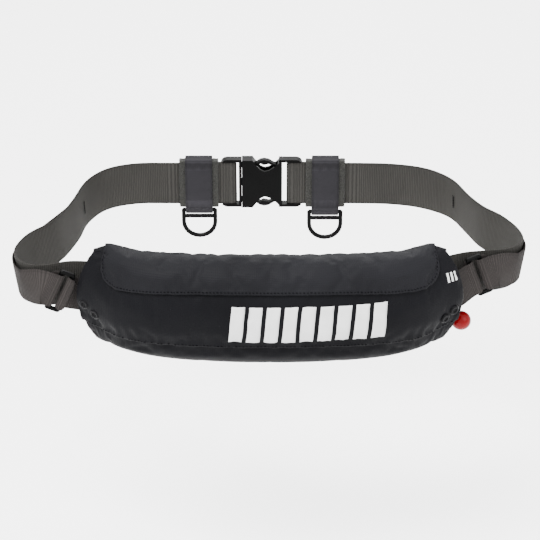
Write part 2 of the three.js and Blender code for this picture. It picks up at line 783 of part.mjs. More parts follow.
// A strap's fold round one bar of an adjuster, with both of its layers leading away from the bar.
// The fold is drawn in the adjuster's own frame; lead is how far both layers run straight, and
// the strap runs on from its front layer or else from its rear one.
function adjusterFold(adjuster, barWay, lead, fromFront) {
  const barX = barWay * (adjusterOpening + adjusterRod) / 2;
  const tipX = barX - barWay * strapFold;
  const rearY = fromFront ? strapFold : -strapFold;
  const corner = (x, y, radius) => ({ point: new THREE.Vector2(x, y), radius });
  const path = roundedPath([
    corner(barX + barWay * lead, rearY, 0),
    corner(tipX, rearY, strapFold * 0.999),
    corner(tipX, -rearY, strapFold * 0.999),
    corner(barX + barWay * lead, -rearY, 0),
  ]);
  const frame = adjusterFrame(adjuster);
  const place = (point) => new THREE.Vector3(point.x, point.y, 0).applyMatrix4(frame);
  const across = new THREE.Vector3(0, 0, 1).transformDirection(frame);
  return flatFrames(path, place, () => across.clone());
}

// Frames for a strap that runs through space: a centre and a direction across at each station.
function runFrames(centres, acrosses) {
  return centres.map((centre, i) => {
    const before = centres[Math.max(i - 1, 0)];
    const after = centres[Math.min(i + 1, centres.length - 1)];
    const tangent = after.clone().sub(before).normalize();
    const across = acrosses[i].clone().addScaledVector(tangent, -acrosses[i].dot(tangent)).normalize();
    return { centre, across, normal: across.clone().cross(tangent).normalize() };
  });
}

// A strap that starts with a fold round an adjuster's bar and runs on through the given places.
// Each place has a centre and a direction across; the fold's own tilt fades out over the first of them.
function foldedStrap(fold, places, steps) {
  const last = fold[fold.length - 1];
  const curve = new THREE.CatmullRomCurve3([last.centre, ...places.map((place) => place.centre)], false, 'centripetal');
  const acrosses = [last.across, ...places.map((place) => place.across)];
  const shares = Array.from({ length: steps }, (_, i) => (i + 1) / steps);
  const centres = shares.map((share) => curve.getPoint(share));
  const turned = shares.map((share) => {
    const position = share * (acrosses.length - 1);
    const low = Math.min(Math.floor(position), acrosses.length - 2);
    return acrosses[low].clone().lerp(acrosses[low + 1], position - low).normalize();
  });
  const run = runFrames([last.centre, ...centres], [last.across, ...turned]).slice(1);
  return ribbon([...fold, ...run], strapWidth, strapThickness);
}

// A place on the belt, counted in rows of one side's route, and its outward side.
function beltPlace(side, row) {
  const count = beltCurve.points.length - 1;
  const share = (side === 'left' ? row : count - row) / count;
  const centre = beltCurve.getPoint(share);
  const tangent = beltCurve.getTangent(share);
  const outside = new THREE.Vector3(tangent.y, -tangent.x, 0).normalize();
  return { centre, outside: outside.multiplyScalar(outwardSide(centre, outside)) };
}

// Side straps: from the adjuster round the near corner to the stitching on the belt's outer face.
const strapOffset = beltThickness / 2 + clearance + strapThickness / 2;
const firstLift = 3;
const sideStretches = {
  left: [{ from: 8, to: 6.2 }, { from: 3.9, to: 3.2 }],
  right: [{ from: 8.75, to: 3 }],
};

function makeSideStrap(adjuster) {
  const places = [];
  for (const { from, to } of sideStretches[adjuster.side]) {
    const steps = Math.ceil((from - to) / 0.35);
    for (let i = 0; i <= steps; i += 1) {
      const { centre, outside } = beltPlace(adjuster.side, from + (to - from) * i / steps);
      const across = leaningAcross(outside, leanAt(centre));
      const lift = clearance + firstLift * Math.max(0, 1 - places.length / 3);
      places.push({ centre: centre.addScaledVector(outside, strapOffset + lift), across });
    }
  }
  const fold = adjusterFold(adjuster, adjuster.way, strapTail / 2, true);
  addPiece(`side_strap_${adjuster.side}`, foldedStrap(fold, places, 56), 'strap');
}

// Pouch tabs: from the adjuster's inner bar to the stitching on the pouch's back.
const tabStations = [{ along: 0.975, lift: 2.5 }, { along: 0.945, lift: 1.3 }, { along: 0.915, lift: 0.8 }];

function makePouchTab(adjuster) {
  const slope = wrap(adjuster.tilt) * 0.8;
  const across = new THREE.Vector3(Math.sin(slope), 0, Math.cos(slope));
  const fold = adjusterFold(adjuster, -adjuster.way, strapTail / 4, adjuster.side === 'right');
  const start = fold[fold.length - 1].centre;
  const places = tabStations.map(({ along, lift }) => {
    const x = adjuster.way * along * pouchLength / 2;
    const y = pouchPlan(along) + clearance + strapThickness / 2 + lift;
    return { centre: new THREE.Vector3(x, y, start.z - Math.abs(start.x - x) * Math.tan(Math.abs(slope))), across };
  });
  addPiece(`pouch_tab_${adjuster.side}`, foldedStrap(fold, places, 8), 'strap');
}

// A turned piece whose axis follows a direction from its seat.
function makeTurned(name, profile, seat, direction, segments, finish) {
  const geometry = new THREE.LatheGeometry(profile.map(([radius, height]) => new THREE.Vector2(radius, height)), segments);
  const turn = new THREE.Quaternion().setFromUnitVectors(new THREE.Vector3(0, 1, 0), direction.clone().normalize());
  geometry.applyQuaternion(turn).translate(seat.x, seat.y, seat.z);
  addPiece(name, geometry, finish);
}

// Press studs: a dished cap with a raised rim.
function makeStud({ name, along, up }) {
  const radius = studDiameter / 2;
  const profile = [
    [0, 0], [radius, 0], [radius, studHeight * 0.5], [radius * 0.8, studHeight],
    [radius * 0.5, studHeight], [radius * 0.36, studHeight * 0.5], [0, studHeight * 0.5],
  ];
  const angle = angleAtHeight(up);
  const seat = pouchSkin(along, angle, clothGap + clothThickness + clearance);
  makeTurned(name, profile, seat, pouchNormal(along, angle), 14, 'stud');
}

// Pull ball: a moulded ball whose neck runs to the pouch's back, low at the right end.
const ballPlace = { x: 0.758, y: -0.845, z: -42.5 };

function makeBall() {
  const centre = new THREE.Vector3(ballPlace.x * loopHalfWidth, ballPlace.y * loopHalfDepth, ballPlace.z);
  const seat = pouchSkin(0.9, 218, neckSeat);
  const direction = centre.clone().sub(seat);
  const radius = ballDiameter / 2;
  const neck = neckDiameter / 2;
  const reach = direction.length();
  const start = Math.asin(neck / radius);
  const profile = [[0, 0], [neck, 0]];
  const rows = 9;
  for (let i = 0; i <= rows; i += 1) {
    const angle = start + (Math.PI - start) * i / rows;
    profile.push([i === rows ? 0 : radius * Math.sin(angle), reach - radius * Math.cos(angle)]);
  }
  makeTurned('pull_ball', profile, seat, direction, 14, 'ball');
}

makePouchBody();
makePouchCloth();
makeBelt();
makePlug();
makeSocket();
for (const keeper of keepers) {
  makeKeeper(keeper);
  makeRingTab(keeper);
  makeRing(keeper);
}
for (const adjuster of adjusters) {
  makeAdjuster(adjuster);
  makeSideStrap(adjuster);
  makePouchTab(adjuster);
}
studPlaces.forEach(makeStud);
makeBall();

export default group;
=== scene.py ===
import math
from itertools import permutations

import bmesh
import bpy
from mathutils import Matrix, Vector, noise


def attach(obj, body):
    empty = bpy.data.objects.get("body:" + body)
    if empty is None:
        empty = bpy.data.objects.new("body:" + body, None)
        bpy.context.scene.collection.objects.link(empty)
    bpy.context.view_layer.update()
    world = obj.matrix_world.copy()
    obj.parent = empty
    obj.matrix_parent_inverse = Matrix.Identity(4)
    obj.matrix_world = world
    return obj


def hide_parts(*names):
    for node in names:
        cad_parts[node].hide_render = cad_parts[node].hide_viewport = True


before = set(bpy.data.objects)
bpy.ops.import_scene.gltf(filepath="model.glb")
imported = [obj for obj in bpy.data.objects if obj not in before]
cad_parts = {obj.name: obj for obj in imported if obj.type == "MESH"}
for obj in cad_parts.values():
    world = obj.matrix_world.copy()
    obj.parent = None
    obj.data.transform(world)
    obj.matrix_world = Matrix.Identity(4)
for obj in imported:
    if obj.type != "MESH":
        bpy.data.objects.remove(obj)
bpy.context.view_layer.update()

bl_info = {
    "name": "Inflatable belt pack",
    "version": (1, 0, 0),
    "blender": (4, 5, 0),
    "location": "3D View > Sidebar > Belt pack",
    "description": "Dresses the belt pack's frame with cloth, webbing and moulded pieces",
    "category": "Object",
}

MM = 0.001


def linear(code):
    """A colour written as sRGB hex, in the linear values that the shaders take."""
    parts = [int(code[i:i + 2], 16) / 255 for i in (0, 2, 4)]
    return [p / 12.92 if p <= 0.04045 else ((p + 0.055) / 1.055) ** 2.4 for p in parts]


def colour(name, code, text):
    return bpy.props.FloatVectorProperty(
        name=name, description=text, subtype="COLOR", size=3, min=0, max=1, default=linear(code)
    )


def length(name, millimetres, text):
    return bpy.props.FloatProperty(
        name=name, description=text, subtype="DISTANCE", unit="LENGTH", default=millimetres * MM
    )


class BeltPackColours(bpy.types.PropertyGroup):
    """Colours of the belt pack's cloth, webbing and moulded pieces."""

    nylon: colour("Pouch nylon", "0a0a0c", "Coated cloth of the pouch's front, ends and back")
    # Painted light: the flap is the pouch's own nylon painted lighter, standing for the light on its upward
    # face.
    flap: colour("Flap nylon painted lighter", "111113", "The same cloth where the top flap lies to the light")
    thread: colour("Thread", "040405", "Stitching of the flap, the seams and the straps")
    webbing: colour("Webbing", "252422", "Ribs of the waist belt's webbing")
    strap: colour("Side webbing", "221f1e", "Ribs of the narrower side straps and pouch tabs")
    tape: colour("Ring tape", "1d1c1f", "Flat tape over the keepers")
    pile: colour("Pile", "1b1b18", "Looped pile on the keepers")
    acetal: colour("Moulded black", "020202", "Buckle, adjusters and rings")
    stud: colour("Stud paint", "060607", "Press studs on the pouch's ends")
    ball: colour("Ball red", "5c0104", "The pull ball")
    mark: colour("Reflective mark", "b4b4b4", "Slanted bars on the pouch's front")
    floor: colour("Floor", "fbfbfb", "Plain pale floor")


class BeltPackSizes(bpy.types.PropertyGroup):
    """Sizes that can be changed without touching the frame."""

    rib: length("Rib spacing", 1.9, "Distance between the webbing's cross ribs")
    weave: length("Thread spacing", 0.9, "Distance between the pouch cloth's threads")
    cloth: length("Cloth thickness", 0.9, "Thickness of the pouch's cloth")
    hem: length("Hem", 5.5, "Width of the turned hem along the flap's edge")
    fold_cap: length("Fold height", 2.8, "How far the stuffing may move the cloth")
    stitch: length("Stitch length", 2.6, "Length of one stitch")
    floor_drop: length("Floor depth", 330, "How far the floor lies below the belt")


def colours():
    return bpy.context.scene.belt_pack_colours


def sizes():
    return bpy.context.scene.belt_pack_sizes


# Materials

def add_node(tree, kind, settings=None, values=None, links=None):
    """Adds one node: its settings, its sockets' values, and links given as socket: (node, output)."""
    node = tree.nodes.new(kind)
    for name, value in (settings or {}).items():
        setattr(node, name, value)
    for socket, value in (values or {}).items():
        node.inputs[socket].default_value = value
    for socket, (source, output) in (links or {}).items():
        tree.links.new(source.outputs[output], node.inputs[socket])
    return node


def material(name):
    """A new material and its tree, with the one shader that it starts from."""
    made = bpy.data.materials.new(name)
    made.use_nodes = True
    return made, made.node_tree, made.node_tree.nodes["Principled BSDF"]


def tinted(rgb, share):
    return (*[min(1, c * share) for c in rgb], 1)


def coated_nylon(name, rgb):
    """Coated nylon taffeta: a tight plain weave whose coating gives long soft highlights."""
    made, tree, shader = material(name)
    place = add_node(tree, "ShaderNodeTexCoord")
    threads = []
    for axis in ("X", "Z"):
        threads.append(add_node(
            tree, "ShaderNodeTexWave", {"wave_type": "BANDS", "bands_direction": axis},
            {"Scale": 1 / sizes().weave / 20 * math.pi, "Distortion": 0.4, "Detail": 1.0},
            {"Vector": (place, "Object")},
        ))
    weave = add_node(tree, "ShaderNodeMath", {"operation": "MULTIPLY"}, None,
                     {0: (threads[0], "Fac"), 1: (threads[1], "Fac")})
    crush = add_node(tree, "ShaderNodeTexNoise", None,
                     {"Scale": 34.0, "Detail": 5.0, "Roughness": 0.55, "Distortion": 0.6},
                     {"Vector": (place, "Object")})
    wear = add_node(tree, "ShaderNodeTexNoise", None, {"Scale": 9.0, "Detail": 3.0},
                    {"Vector": (place, "Object")})
    ramp = add_node(tree, "ShaderNodeValToRGB", None, None, {"Fac": (wear, "Fac")})
    ramp.color_ramp.elements[0].position = 0.32
    ramp.color_ramp.elements[0].color = tinted(rgb, 0.8)
    ramp.color_ramp.elements[1].position = 0.72
    ramp.color_ramp.elements[1].color = tinted(rgb, 1.25)
    creases = add_node(tree, "ShaderNodeBump", None, {"Strength": 0.35, "Distance": 2.2 * MM},
                       {"Height": (crush, "Fac")})
    grain = add_node(tree, "ShaderNodeBump", None, {"Strength": 0.45, "Distance": 0.25 * MM},
                     {"Height": (weave, "Value"), "Normal": (creases, "Normal")})
    tree.links.new(ramp.outputs["Color"], shader.inputs["Base Color"])
    tree.links.new(grain.outputs["Normal"], shader.inputs["Normal"])
    shader.inputs["Roughness"].default_value = 0.55
    shader.inputs["IOR"].default_value = 1.5
    shader.inputs["Specular IOR Level"].default_value = 0.025
    return made


def ribbed_webbing(name, rgb, spacing, edge):
    """Polyester webbing: round cross ribs whose valleys are painted darker as painted shade, with a tighter
    selvedge along both edges.
    """
    made, tree, shader = material(name)
    run = add_node(tree, "ShaderNodeAttribute", {"attribute_name": "along"})
    side = add_node(tree, "ShaderNodeAttribute", {"attribute_name": "across"})
    place = add_node(tree, "ShaderNodeCombineXYZ", None, None, {"X": (run, "Fac"), "Y": (side, "Fac")})
    ribs = add_node(tree, "ShaderNodeTexWave", {"wave_type": "BANDS", "bands_direction": "X"},
                    {"Scale": 2 * math.pi / spacing / 20, "Distortion": 1.2, "Detail": 2.0,
                     "Detail Scale": 1.5}, {"Vector": (place, "Vector")})
    warp = add_node(tree, "ShaderNodeTexWave", {"wave_type": "BANDS", "bands_direction": "Y"},
                    {"Scale": 2 * math.pi / (spacing * 0.7) / 20, "Distortion": 0.6},
                    {"Vector": (place, "Vector")})
    cloth = add_node(tree, "ShaderNodeMath", {"operation": "MULTIPLY"}, {1: 0.35}, {0: (warp, "Fac")})
    height = add_node(tree, "ShaderNodeMath", {"operation": "ADD"}, None,
                      {0: (ribs, "Fac"), 1: (cloth, "Value")})
    fuzz = add_node(tree, "ShaderNodeTexNoise", None, {"Scale": 420.0, "Detail": 3.0, "Roughness": 0.7},
                    {"Vector": (place, "Vector")})
    patches = add_node(tree, "ShaderNodeTexNoise", None, {"Scale": 14.0, "Detail": 2.0},
                       {"Vector": (place, "Vector")})
    shade = add_node(tree, "ShaderNodeMath", {"operation": "MULTIPLY_ADD"}, {1: 0.3},
                     {0: (fuzz, "Fac"), 2: (height, "Value")})
    # The ramp paints the rib valleys darker than the crowns: painted shade in the hollows, plus random fibre
    # fuzz.
    ramp = add_node(tree, "ShaderNodeValToRGB", None, None, {"Fac": (shade, "Value")})
    ramp.color_ramp.elements[0].position = 0.15
    ramp.color_ramp.elements[0].color = tinted(rgb, 0.5)
    ramp.color_ramp.elements[1].position = 1.0
    ramp.color_ramp.elements[1].color = tinted(rgb, 1.22)
    worn = add_node(tree, "ShaderNodeMapRange", None, {"From Min": 0.3, "From Max": 0.7, "To Min": 0.86,
                    "To Max": 1.1}, {"Value": (patches, "Fac")})
    distance = add_node(tree, "ShaderNodeMath", {"operation": "ABSOLUTE"}, None, {0: (side, "Fac")})
    selvedge = add_node(tree, "ShaderNodeMapRange", None,
                        {"From Min": edge - 2.4 * MM, "From Max": edge - 1.2 * MM, "To Min": 1.0,
                         "To Max": 0.78}, {"Value": (distance, "Value")})
    tone = add_node(tree, "ShaderNodeMath", {"operation": "MULTIPLY"}, None,
                    {0: (worn, "Result"), 1: (selvedge, "Result")})
    mixed = add_node(tree, "ShaderNodeVectorMath", {"operation": "SCALE"}, None,
                     {"Vector": (ramp, "Color"), "Scale": (tone, "Value")})
    bump = add_node(tree, "ShaderNodeBump", None, {"Strength": 0.8, "Distance": 0.55 * MM},
                    {"Height": (shade, "Value")})
    tree.links.new(mixed.outputs["Vector"], shader.inputs["Base Color"])
    tree.links.new(bump.outputs["Normal"], shader.inputs["Normal"])
    shader.inputs["Roughness"].default_value = 0.85
    shader.inputs["Specular IOR Level"].default_value = 0.1
    return made


def looped_pile(name, rgb):
    """Loop side of a touch fastener: a dull mat of nylon loops that breaks the light into specks."""
    made, tree, shader = material(name)
    place = add_node(tree, "ShaderNodeTexCoord")
    loops = add_node(tree, "ShaderNodeTexVoronoi", None, {"Scale": 900.0, "Randomness": 1.0},
                     {"Vector": (place, "Object")})
    mat = add_node(tree, "ShaderNodeTexNoise", None, {"Scale": 260.0, "Detail": 6.0, "Roughness": 0.75},
                   {"Vector": (place, "Object")})
    height = add_node(tree, "ShaderNodeMath", {"operation": "ADD"}, None,
                      {0: (loops, "Distance"), 1: (mat, "Fac")})
    ramp = add_node(tree, "ShaderNodeValToRGB", None, None, {"Fac": (mat, "Fac")})
    ramp.color_ramp.elements[0].position = 0.3
    ramp.color_ramp.elements[0].color = tinted(rgb, 0.42)
    ramp.color_ramp.elements[1].position = 0.68
    ramp.color_ramp.elements[1].color = tinted(rgb, 1.35)
    bump = add_node(tree, "ShaderNodeBump", None, {"Strength": 1.0, "Distance": 1.1 * MM},
                    {"Height": (height, "Value")})
    tree.links.new(ramp.outputs["Color"], shader.inputs["Base Color"])
    tree.links.new(bump.outputs["Normal"], shader.inputs["Normal"])
    shader.inputs["Roughness"].default_value = 0.95
    shader.inputs["Specular IOR Level"].default_value = 0.1
    shader.inputs["Sheen Weight"].default_value = 0.05
    shader.inputs["Sheen Roughness"].default_value = 0.7
    return made


def moulded(name, rgb, roughness, shine=0.04, ior=1.48):
    """A moulded plastic: even satin skin with a faint orange peel and small flow marks."""
    made, tree, shader = material(name)
    place = add_node(tree, "ShaderNodeTexCoord")
    peel = add_node(tree, "ShaderNodeTexNoise", None, {"Scale": 650.0, "Detail": 3.0},
                    {"Vector": (place, "Object")})
    flow = add_node(tree, "ShaderNodeTexNoise", None, {"Scale": 60.0, "Detail": 3.0},
                    {"Vector": (place, "Object")})
    ramp = add_node(tree, "ShaderNodeValToRGB", None, None, {"Fac": (flow, "Fac")})
    ramp.color_ramp.elements[0].color = tinted(rgb, 0.85)
    ramp.color_ramp.elements[1].color = tinted(rgb, 1.2)
    gloss = add_node(tree, "ShaderNodeMapRange", None,
                     {"From Min": 0.3, "From Max": 0.7, "To Min": roughness * 0.85,
                      "To Max": roughness * 1.2}, {"Value": (flow, "Fac")})
    bump = add_node(tree, "ShaderNodeBump", None, {"Strength": 0.12, "Distance": 0.12 * MM},
                    {"Height": (peel, "Fac")})
    tree.links.new(ramp.outputs["Color"], shader.inputs["Base Color"])
    tree.links.new(gloss.outputs["Result"], shader.inputs["Roughness"])
    tree.links.new(bump.outputs["Normal"], shader.inputs["Normal"])
    shader.inputs["IOR"].default_value = ior
    shader.inputs["Specular IOR Level"].default_value = shine
    return made


def painted_metal(name, rgb):
    """Pressed brass under black paint: a satin film whose tone varies a little at random."""
    made, tree, shader = material(name)
    place = add_node(tree, "ShaderNodeTexCoord")
    film = add_node(tree, "ShaderNodeTexNoise", None, {"Scale": 300.0, "Detail": 4.0},
                    {"Vector": (place, "Object")})
    ramp = add_node(tree, "ShaderNodeValToRGB", None, None, {"Fac": (film, "Fac")})
    ramp.color_ramp.elements[0].color = tinted(rgb, 0.8)
    ramp.color_ramp.elements[1].color = tinted(rgb, 1.6)
    tree.links.new(ramp.outputs["Color"], shader.inputs["Base Color"])
    shader.inputs["Metallic"].default_value = 0.05
    shader.inputs["Roughness"].default_value = 0.34
    shader.inputs["Specular IOR Level"].default_value = 0.04
    return made


def pale_floor(name, rgb):
    """Matt white studio board, with a faint unevenness."""
    made, tree, shader = material(name)
    place = add_node(tree, "ShaderNodeTexCoord")
    uneven = add_node(tree, "ShaderNodeTexNoise", None, {"Scale": 1.5, "Detail": 2.0},
                      {"Vector": (place, "Object")})
    ramp = add_node(tree, "ShaderNodeValToRGB", None, None, {"Fac": (uneven, "Fac")})
    ramp.color_ramp.elements[0].color = tinted(rgb, 0.99)
    ramp.color_ramp.elements[1].color = tinted(rgb, 1.0)
    tree.links.new(ramp.outputs["Color"], shader.inputs["Base Color"])
    shader.inputs["Roughness"].default_value = 0.9
    return made


# Pieces

def new_piece(name, bm, body, finish, replaced=()):
    """Makes a piece from a finished bmesh, smooth shaded, riding on its body."""
    mesh = bpy.data.meshes.new(name)
    bm.to_mesh(mesh)
    bm.free()
    for polygon in mesh.polygons:
        polygon.use_smooth = True
    piece = bpy.data.objects.new(name, mesh)
    bpy.context.scene.collection.objects.link(piece)
    mesh.materials.append(finish)
    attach(piece, body)
    if replaced:
        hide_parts(*replaced)
    return piece


def subdivided(piece, levels=1):
    modifier = piece.modifiers.new("smooth", "SUBSURF")
    modifier.levels = levels
    modifier.render_levels = levels
    return piece


def softened(piece, width, segments=3):
    modifier = piece.modifiers.new("edges", "BEVEL")
    modifier.width = width
    modifier.segments = segments
    modifier.limit_method = "ANGLE"
    modifier.angle_limit = math.radians(28)


def merged_copy(node, closeness=0.001 * MM):
    """A CAD node's own mesh with its loose triangles merged."""
    bm = bmesh.new()
    bm.from_mesh(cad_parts[node].data)
    bmesh.ops.remove_doubles(bm, verts=bm.verts, dist=closeness)
    return bm


# Pouch surface, from the same sizes as the frame. Only the flap differs: it reaches further at each end.

POUCH_LENGTH = 382 * MM
POUCH_HEIGHT = 110 * MM
POUCH_DEPTH = 54 * MM
POUCH_CURVE = 26 * MM
POUCH_END_BOW = 18 * MM
POUCH_DROP = 5 * MM
POUCH_BACK = -117.9 * MM
BACK_SHARE = 0.3
ROUNDNESS = 2.4
PANEL_UNDER = 0.8 * MM
FLAP_UNDER = 3.9 * MM
FLAP_REACH = 0.915
FLAP_BACK_ANGLE = 128
PANEL_TOP_ANGLE = 108
BACK_SEAM_ANGLE = 172
SEAM_GRIP = 7

# Seams, thread and reflective film on the pouch

PUCKER_WIDTH = 9 * MM
PUCKER_PITCH = 8 * MM
PUCKER_HEIGHT = 1.7 * MM
PUCKER_SHIFT = 60
SWELL_FRAMES = 20
PANEL_HEM = 4 * MM
HEM_RISE = 0.55 * MM
THREAD_WIDTH = 0.75 * MM
THREAD_HEIGHT = 0.6 * MM
STITCH_PITCH = 1.35
HEM_ROW_REACH = 0.985
HEM_ROW_ANGLE = 3
SEAM_ROW_REACH = 0.97
SEAM_ROW_ANGLE = 2.4
FILM_RISE = 0.6 * MM
FILM_THICKNESS = 0.15 * MM

SECTIONS = [
    {"at": 0, "depth": 1, "height": 1, "back": 0, "bow": 0},
    {"at": 0.35, "depth": 0.98, "height": 0.995, "back": 0.1, "bow": 0},
    {"at": 0.6, "depth": 0.93, "height": 0.985, "back": 0.33, "bow": 0.05},
    {"at": 0.78, "depth": 0.78, "height": 0.965, "back": 0.58, "bow": 0.3},
    {"at": 0.9, "depth": 0.5, "height": 0.95, "back": 0.66, "bow": 0.66},
    {"at": 1, "depth": 0.14, "height": 0.92, "back": 0.42, "bow": 1},
]
FLAP_EDGE = [
    {"at": 0, "height": 0.6}, {"at": 0.4, "height": 0.58}, {"at": 0.64, "height": 0.52},
    {"at": 0.78, "height": 0.49}, {"at": 0.85, "height": 0.56}, {"at": 0.89, "height": 0.72},
    {"at": 0.915, "height": 0.97},
]
LOWER_SEAM = [
    {"at": 0, "height": -0.44}, {"at": 0.5, "height": -0.48}, {"at": 0.8, "height": -0.56},
    {"at": 1, "height": -0.5},
]
BAR_ROWS = [
    {"count": 9, "start": -0.213, "pitch": 0.0906, "width": 0.068, "low": -12.5, "high": 19.5, "lean": 0.018},
    {"count": 3, "start": 0.915, "pitch": 0.021, "width": 0.011, "low": 22, "high": 34, "lean": 0.004},
]


def read_table(table, column, at):
    """Reads one column of a table smoothly, from the pouch's middle to its end."""
    share = abs(at)
    last = len(table) - 1
    row = next((i for i, entry in enumerate(table) if entry["at"] > share), last) - 1

    def slope(index):
        before, after = table[max(index - 1, 0)], table[min(index + 1, last)]
        return 0 if index == 0 else (after[column] - before[column]) / (after["at"] - before["at"])

    low, high = table[row], table[row + 1]
    span = high["at"] - low["at"]
    t = min((share - low["at"]) / span, 1)
    start = 2 * t ** 3 - 3 * t ** 2 + 1
    return (start * low[column] + (1 - start) * high[column]
            + span * ((t ** 3 - 2 * t ** 2 + t) * slope(row) + (t ** 3 - t ** 2) * slope(row + 1)))


def pouch_plan(along):
    return POUCH_BACK + POUCH_CURVE * read_table(SECTIONS, "back", along)


def pouch_point(along, angle):
    power = 2 / ROUNDNESS
    depth = POUCH_DEPTH * read_table(SECTIONS, "depth", along)
    half_height = POUCH_HEIGHT / 2 * read_table(SECTIONS, "height", along)
    forward, upward = math.cos(math.radians(angle)), math.sin(math.radians(angle))
    forward_share = math.copysign(abs(forward) ** power, forward)
    up_share = math.copysign(abs(upward) ** power, upward)
    reach = depth * (1 - BACK_SHARE) if forward > 0 else depth * BACK_SHARE
    bow = POUCH_END_BOW * read_table(SECTIONS, "bow", along) * up_share ** 2
    return Vector((
        along * POUCH_LENGTH / 2 - math.copysign(bow, along),
        pouch_plan(along) - depth * BACK_SHARE - forward_share * reach,
        up_share * half_height - POUCH_DROP,
    ))


def pouch_normal(along, angle):
    step = 0.004
    clipped = max(-1 + step, min(1 - step, along))
    lengthwise = pouch_point(clipped + step, angle) - pouch_point(clipped - step, angle)
    around = pouch_point(clipped, angle + 2) - pouch_point(clipped, angle - 2)
    return lengthwise.cross(around).normalized()


def angle_at_height(height):
    upward = math.copysign(min(abs(height), 1) ** (ROUNDNESS / 2), height)
    return math.degrees(math.asin(upward))


def flap_edge(along):
    return angle_at_height(read_table(FLAP_EDGE, "height", along))


def lower_seam(along):
    return angle_at_height(read_table(LOWER_SEAM, "height", along))


CROWDING = math.radians(77.4)
LENGTHWISE = 132
AROUND = 76


def station(share):
    """Places along the pouch that lie closer together towards its ends."""
    return math.sin(CROWDING * share) / math.sin(CROWDING)


def share_of(along):
    return math.asin(max(-1, min(1, along)) * math.sin(CROWDING)) / CROWDING


# How far the stuffing has moved the cloth at each station and angle.
folds = {}


def fold_at(along, angle):
    """The stuffing's displacement between the four nearest places of the simulated body."""
    if not folds:
        return Vector()
    i = (share_of(along) + 1) / 2 * LENGTHWISE
    j = (angle % 360) / 360 * AROUND
    i0 = min(int(i), LENGTHWISE - 1)
    j0 = int(j)
    di, dj = i - i0, j - j0
    near = folds[i0, j0 % AROUND].lerp(folds[i0 + 1, j0 % AROUND], di)
    far = folds[i0, (j0 + 1) % AROUND].lerp(folds[i0 + 1, (j0 + 1) % AROUND], di)
    return near.lerp(far, dj)


def signed(angle):
    """The same angle, given between -180 and 180 degrees."""
    return angle if angle <= 180 else angle - 360


def pucker(along, angle):
    """The small gathers that stitching pulls into the cloth beside each seam."""
    run = along * POUCH_LENGTH / 2
    gathers = 0
    for seam in (lower_seam(along), flap_edge(along)):
        away = math.radians(signed(angle) - seam) * POUCH_HEIGHT / 2
        fade = math.exp(-(away / PUCKER_WIDTH) ** 2)
        gathers += fade * noise.noise(Vector((run / PUCKER_PITCH, seam, away * PUCKER_SHIFT)))
    return gathers * PUCKER_HEIGHT


def pouch_skin(along, angle, offset):
    raised = offset + pucker(along, angle)
    return pouch_point(along, angle) + pouch_normal(along, angle) * raised + fold_at(along, angle)


def pouch_grid():
    """The pouch's closed skin as a grid, with each vertex's station and angle kept as layers."""
    bm = bmesh.new()
    bmesh.ops.create_grid(bm, x_segments=LENGTHWISE, y_segments=AROUND, size=1)
    rows = bm.verts.layers.int.new("row")
    columns = bm.verts.layers.int.new("column")
    for vert in bm.verts:
        row = round((vert.co.x + 1) / 2 * LENGTHWISE)
        column = round((vert.co.y + 1) / 2 * AROUND) % AROUND
        vert[rows], vert[columns] = row, column
        vert.co = pouch_point(station(2 * row / LENGTHWISE - 1), 360 * column / AROUND)
    bmesh.ops.remove_doubles(bm, verts=bm.verts, dist=1e-6)
    bm.verts.index_update()
    ends = [edge for edge in bm.edges if edge.is_boundary]
    made = bmesh.ops.holes_fill(bm, edges=ends, sides=0)
    bmesh.ops.triangulate(bm, faces=made["faces"])
    bmesh.ops.recalc_face_normals(bm, faces=bm.faces)
    return bm, rows, columns


def seam_hold(along, angle):
    """How firmly the seams hold the cloth at a place, from 0 to 1."""
    turned = signed(angle)
    gaps = [
        abs(turned - lower_seam(along)), abs(turned - FLAP_BACK_ANGLE), abs(abs(turned) - BACK_SEAM_ANGLE),
    ]
    if abs(along) < FLAP_REACH:
        gaps.append(abs(turned - flap_edge(along)))
    return max(0.0, 1 - min(gaps) / SEAM_GRIP)


def stuff_pouch(piece, rows, columns):
    """Lets the cloth swell between its seams, and keeps how far each place moved."""
    scene = bpy.context.scene
    held = piece.vertex_groups.new(name="held")
    for vert, row, column in zip(piece.data.vertices, rows, columns):
        along, angle = station(2 * row / LENGTHWISE - 1), 360 * column / AROUND
        end = 1.0 if row in (0, LENGTHWISE) else 0.0
        held.add([vert.index], max(end, seam_hold(along, angle)), "REPLACE")
    cloth = piece.modifiers.new("stuffing", "CLOTH")
    settings = cloth.settings
    settings.quality = 5
    settings.mass = 0.15
    settings.tension_stiffness = 12
    settings.compression_stiffness = 12
    settings.shear_stiffness = 3
    settings.bending_stiffness = 0.04
    settings.use_pressure = True
    settings.uniform_pressure_force = 4
    settings.shrink_min = -0.035
    settings.vertex_group_mass = "held"
    settings.effector_weights.gravity = 0
    cloth.collision_settings.use_collision = False
    cloth.point_cache.frame_start = 1
    cloth.point_cache.frame_end = SWELL_FRAMES
    for number in range(1, SWELL_FRAMES + 1):
        scene.frame_set(number)
    evaluated = piece.evaluated_get(bpy.context.evaluated_depsgraph_get())
    cap = sizes().fold_cap
    for vert, moved, row, column in zip(piece.data.vertices, evaluated.data.vertices, rows, columns):
        shift = moved.co - vert.co
        if shift.length > cap:
            shift *= cap / shift.length
        folds[row, column] = shift
    piece.modifiers.remove(cloth)
    scene.frame_set(1)


